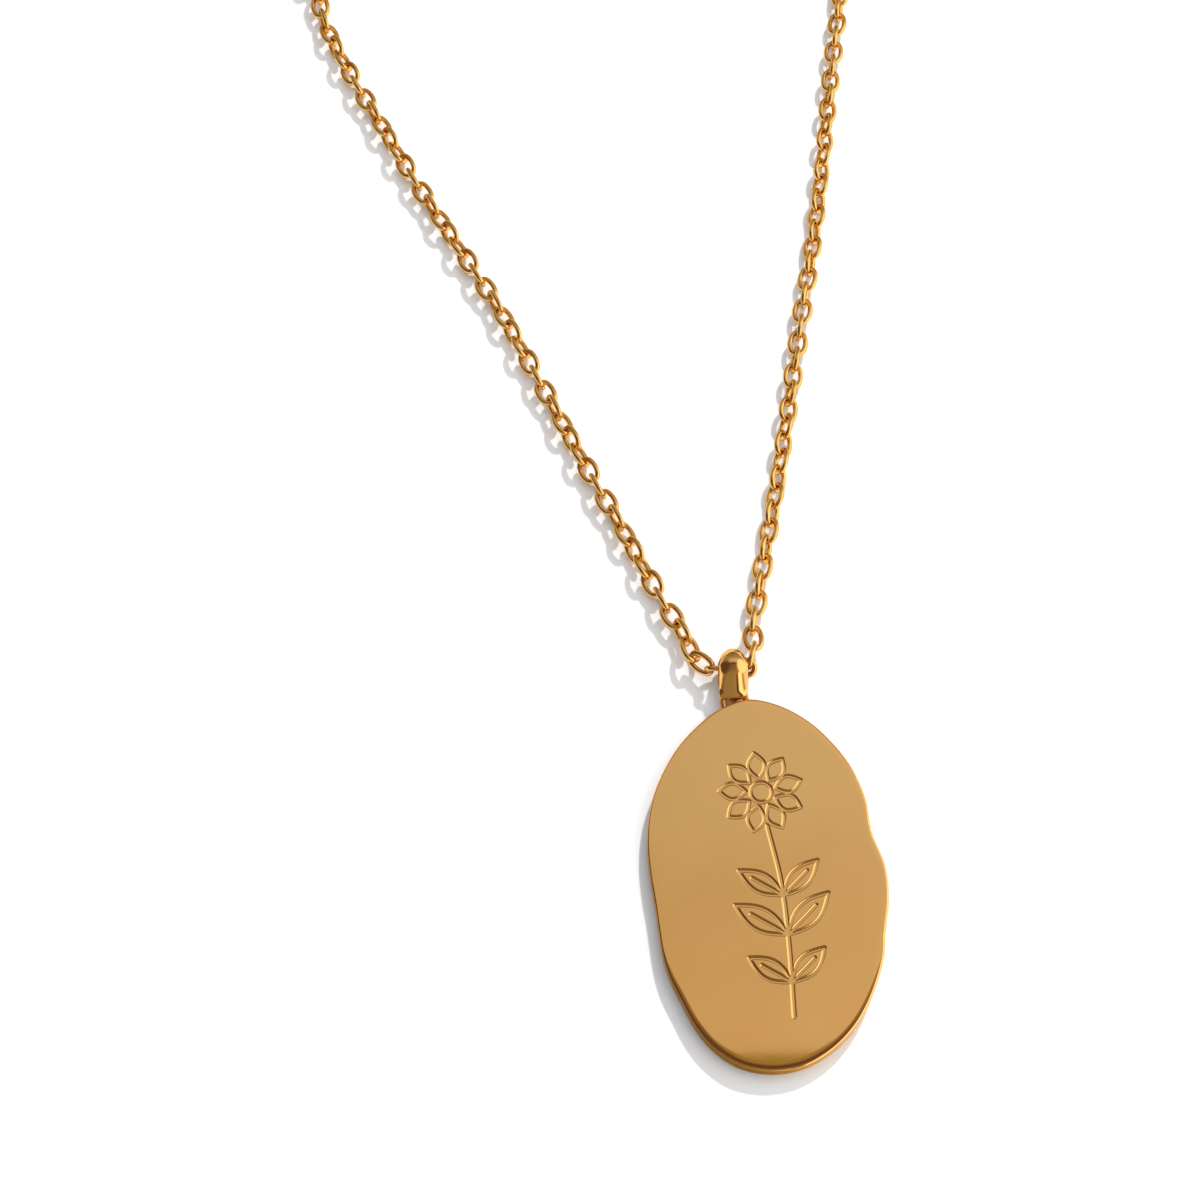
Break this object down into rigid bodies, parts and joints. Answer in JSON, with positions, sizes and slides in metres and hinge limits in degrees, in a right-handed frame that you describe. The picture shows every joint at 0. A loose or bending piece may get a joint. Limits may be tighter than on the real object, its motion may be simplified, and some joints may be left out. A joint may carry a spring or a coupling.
{
  "type": "engraved pendant necklace",
  "caption": "Flat engraved plate pendant with a thick bail on a fine cable chain, with a lobster clasp, an extender chain and a drop.",
  "frame": {"origin": "centre of the plate's back face, which lies on the table", "axes": "+Y from the plate's middle to its bail, +Z out of the engraved face, +X to the right of the engraving"},
  "size_m": [0.0793, 0.1163, 0.0032],
  "materials": {
    "gold": "polished",
    "gold_dark": "polished",
    "steel": "satin"
  },
  "bodies": {
    "pendant": {"plate": "gold", "plate_eye": "gold_dark"},
    "bail": {"bail": "gold"},
    "bail_link_left": {"bail_link_left": "gold"},
    "bail_link_right": {"bail_link_right": "gold"},
    "left_link_1": {"left_link_1": "gold"},
    "left_link_2": {"left_link_2": "gold"},
    "left_link_3": {"left_link_3": "gold"},
    "left_chain": {"left_strand": "gold", "left_coil": "gold", "left_tail": "gold", "left_end_link": "gold"},
    "clasp_ring": {"clasp_ring": "gold_dark"},
    "clasp": {"clasp_body": "gold", "clasp_pin": "steel", "clasp_spring": "steel"},
    "clasp_lever": {"clasp_lever": "gold_dark"},
    "right_link_1": {"right_link_1": "gold"},
    "right_link_2": {"right_link_2": "gold"},
    "right_link_3": {"right_link_3": "gold"},
    "right_chain": {"right_strand": "gold", "right_coil": "gold", "right_tail": "gold", "right_end_link": "gold"},
    "extender_ring": {"extender_ring": "gold_dark"},
    "extender": {"extender_first_link": "gold", "extender_chain": "gold"},
    "extender_link_1": {"extender_link_1": "gold"},
    "extender_link_2": {"extender_link_2": "gold"},
    "extender_link_3": {"extender_link_3": "gold"},
    "drop_ring": {"drop_ring": "gold_dark"},
    "end_drop": {"end_drop": "gold"}
  },
  "joints": [
    {"name": "bail_swing", "type": "hinge", "parent": "pendant", "child": "bail", "pos_m": [-0.0001, 0.01367, 0.0006], "axis": [1, 0, 0], "range_deg": [-55, 6]},
    {"name": "chain_turn_in_bail", "type": "hinge", "parent": "bail", "child": "bail_link_left", "pos_m": [-0.00005, 0.01534, 0.00134], "axis": [0.9925, -0.1219, 0], "range_deg": [-12, 12]},
    {"name": "bail_links_turn", "type": "hinge", "parent": "bail_link_left", "child": "bail_link_right", "pos_m": [-0.00005, 0.01534, 0.00134], "axis": [-0.0496, -0.4037, 0.9135], "range_deg": [-4, 4]},
    {"name": "left_link_1_turn", "type": "hinge", "parent": "bail_link_left", "child": "left_link_1", "pos_m": [-0.00151, 0.01552, 0.00134], "axis": [-0.0496, -0.4037, 0.9135], "range_deg": [-8, 8]},
    {"name": "left_link_2_turn", "type": "hinge", "parent": "left_link_1", "child": "left_link_2", "pos_m": [-0.00262, 0.01671, 0.00107], "axis": [0.385, 0.5297, 0.7558], "range_deg": [-15, 15]},
    {"name": "left_link_3_turn", "type": "hinge", "parent": "left_link_2", "child": "left_link_3", "pos_m": [-0.00272, 0.01821, 0.00096], "axis": [-0.8636, -0.0774, 0.4982], "range_deg": [-15, 15]},
    {"name": "left_chain_turn", "type": "hinge", "parent": "left_link_3", "child": "left_chain", "pos_m": [-0.00321, 0.01959, 0.00082], "axis": [0.2962, 0.1933, 0.9353], "range_deg": [-15, 15]},
    {"name": "right_link_1_turn", "type": "hinge", "parent": "bail_link_right", "child": "right_link_1", "pos_m": [0.0013, 0.01541, 0.00145], "axis": [0.1113, 0.9067, 0.4067], "range_deg": [-8, 8]},
    {"name": "right_link_2_turn", "type": "hinge", "parent": "right_link_1", "child": "right_link_2", "pos_m": [0.00192, 0.01694, 0.00125], "axis": [0.078, 0.0998, 0.9919], "range_deg": [-15, 15]},
    {"name": "right_link_3_turn", "type": "hinge", "parent": "right_link_2", "child": "right_link_3", "pos_m": [0.00201, 0.01838, 0.00092], "axis": [0.995, -0.0998, 0], "range_deg": [-15, 15]},
    {"name": "right_chain_turn", "type": "hinge", "parent": "right_link_3", "child": "right_chain", "pos_m": [0.00247, 0.01977, 0.0008], "axis": [-0.0552, 0.1173, 0.9916], "range_deg": [-15, 15]},
    {"name": "clasp_ring_turn", "type": "hinge", "parent": "left_chain", "child": "clasp_ring", "pos_m": [-0.0183, 0.09833, 0.00078], "axis": [0, 0, 1], "range_deg": [-28, 28]},
    {"name": "clasp_swing", "type": "hinge", "parent": "clasp_ring", "child": "clasp", "pos_m": [-0.01688, 0.09952, 0.00088], "axis": [0.0698, -0.9976, 0], "range_deg": [-20, 20]},
    {"name": "clasp_lever_turn", "type": "hinge", "parent": "clasp", "child": "clasp_lever", "pos_m": [-0.0136, 0.1007, 0.0011], "axis": [0, 0, -1], "range_deg": [0, 14], "stiffness_Nm_per_rad": 0.002, "springref_deg": -8.59},
    {"name": "extender_ring_turn", "type": "hinge", "parent": "right_chain", "child": "extender_ring", "pos_m": [0.0137, 0.09465, 0.00078], "axis": [0, 0, 1], "range_deg": [-5, 12]},
    {"name": "extender_swing", "type": "hinge", "parent": "extender_ring", "child": "extender", "pos_m": [0.01453, 0.09705, 0.00088], "axis": [0.8454, -0.5342, 0], "range_deg": [-15, 15]},
    {"name": "extender_link_1_turn", "type": "hinge", "parent": "extender", "child": "extender_link_1", "pos_m": [0.03857, 0.08802, 0.0012], "axis": [0, 0, 1], "range_deg": [-12, 12]},
    {"name": "extender_link_2_turn", "type": "hinge", "parent": "extender_link_1", "child": "extender_link_2", "pos_m": [0.03845, 0.0857, 0.0012], "axis": [0.9986, -0.0523, 0], "range_deg": [-18, 18]},
    {"name": "extender_link_3_turn", "type": "hinge", "parent": "extender_link_2", "child": "extender_link_3", "pos_m": [0.03834, 0.08365, 0.0012], "axis": [0, 0, 1], "range_deg": [-18, 18]},
    {"name": "drop_ring_turn", "type": "hinge", "parent": "extender_link_3", "child": "drop_ring", "pos_m": [0.03823, 0.0816, 0.0012], "axis": [0.9986, -0.0523, 0], "range_deg": [-20, 20]},
    {"name": "end_drop_turn", "type": "hinge", "parent": "drop_ring", "child": "end_drop", "pos_m": [0.03815, 0.07997, 0.0013], "axis": [0, 0, 1], "range_deg": [-25, 25]}
  ]
}
